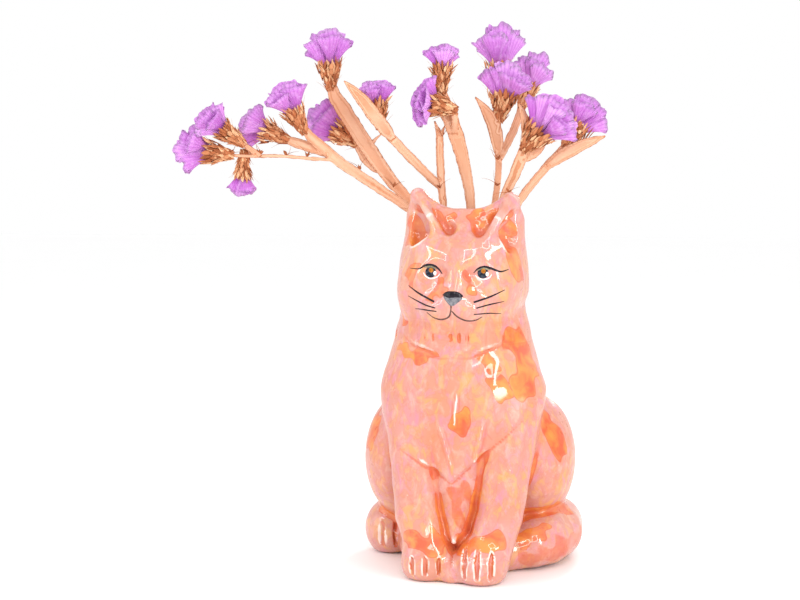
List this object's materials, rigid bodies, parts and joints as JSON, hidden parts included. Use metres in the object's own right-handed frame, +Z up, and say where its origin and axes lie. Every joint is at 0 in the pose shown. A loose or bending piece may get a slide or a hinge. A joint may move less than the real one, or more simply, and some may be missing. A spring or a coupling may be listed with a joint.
{
  "type": "cat vase with dried flowers",
  "caption": "Sitting cat vase in coral lustre glaze, open at the top of the head, holding loose sprigs of dried purple statice that lift out of the mouth.",
  "frame": {"origin": "middle of the flat base, on the surface that the vase stands on", "axes": "+Z up, the cat faces -Y, +X to the viewer's right when facing it"},
  "size_m": [0.2097, 0.1106, 0.2663],
  "materials": {
    "glaze": "glossy coral lustre glaze",
    "stem": "dry matt winged stem",
    "bract": "dry brown bracts",
    "calyx": "papery purple calyx"
  },
  "bodies": {
    "vase": {"vase_body": "glaze"},
    "left_low_sprig": {"left_low_stem": "stem", "left_low_bracts_1": "bract", "left_low_calyx_1": "calyx", "left_low_bracts_2": "bract", "left_low_calyx_2": "calyx", "left_low_bracts_3": "bract", "left_low_calyx_3": "calyx", "left_low_bracts_4": "bract", "left_low_calyx_4": "calyx", "left_low_bracts_5": "bract", "left_low_calyx_5": "calyx"},
    "left_high_sprig": {"left_high_stem": "stem", "left_high_bracts_1": "bract", "left_high_calyx_1": "calyx", "left_high_bracts_2": "bract", "left_high_calyx_2": "calyx"},
    "centre_thin_sprig": {"centre_thin_stem": "stem", "centre_thin_bracts_1": "bract", "centre_thin_calyx_1": "calyx"},
    "centre_wide_sprig": {"centre_wide_stem": "stem", "centre_wide_bracts_1": "bract", "centre_wide_calyx_1": "calyx", "centre_wide_bracts_2": "bract", "centre_wide_calyx_2": "calyx"},
    "right_thin_sprig": {"right_thin_stem": "stem", "right_thin_bracts_1": "bract", "right_thin_calyx_1": "calyx", "right_thin_bracts_2": "bract", "right_thin_calyx_2": "calyx", "right_thin_bracts_3": "bract", "right_thin_calyx_3": "calyx"},
    "right_wide_sprig": {"right_wide_stem": "stem", "right_wide_bracts_1": "bract", "right_wide_calyx_1": "calyx"},
    "far_right_sprig": {"far_right_stem": "stem", "far_right_bracts_1": "bract", "far_right_calyx_1": "calyx"}
  },
  "joints": [
    {"name": "left_low_lift", "type": "slide", "parent": "vase", "child": "left_low_sprig", "axis": [-0.1329, -0.0199, 0.9909], "range_m": [0, 0.18]},
    {"name": "left_high_lift", "type": "slide", "parent": "vase", "child": "left_high_sprig", "axis": [-0.1342, -0.0201, 0.9907], "range_m": [0, 0.18]},
    {"name": "centre_thin_lift", "type": "slide", "parent": "vase", "child": "centre_thin_sprig", "axis": [-0.1398, -0.0209, 0.99], "range_m": [0, 0.18]},
    {"name": "centre_wide_lift", "type": "slide", "parent": "vase", "child": "centre_wide_sprig", "axis": [-0.1039, -0.0155, 0.9945], "range_m": [0, 0.18]},
    {"name": "right_thin_lift", "type": "slide", "parent": "vase", "child": "right_thin_sprig", "axis": [-0.0293, -0.0044, 0.9996], "range_m": [0, 0.18]},
    {"name": "right_wide_lift", "type": "slide", "parent": "vase", "child": "right_wide_sprig", "axis": [0.1551, 0.0232, 0.9876], "range_m": [0, 0.18]},
    {"name": "far_right_lift", "type": "slide", "parent": "vase", "child": "far_right_sprig", "axis": [0.149, 0.0223, 0.9886], "range_m": [0, 0.18]}
  ]
}
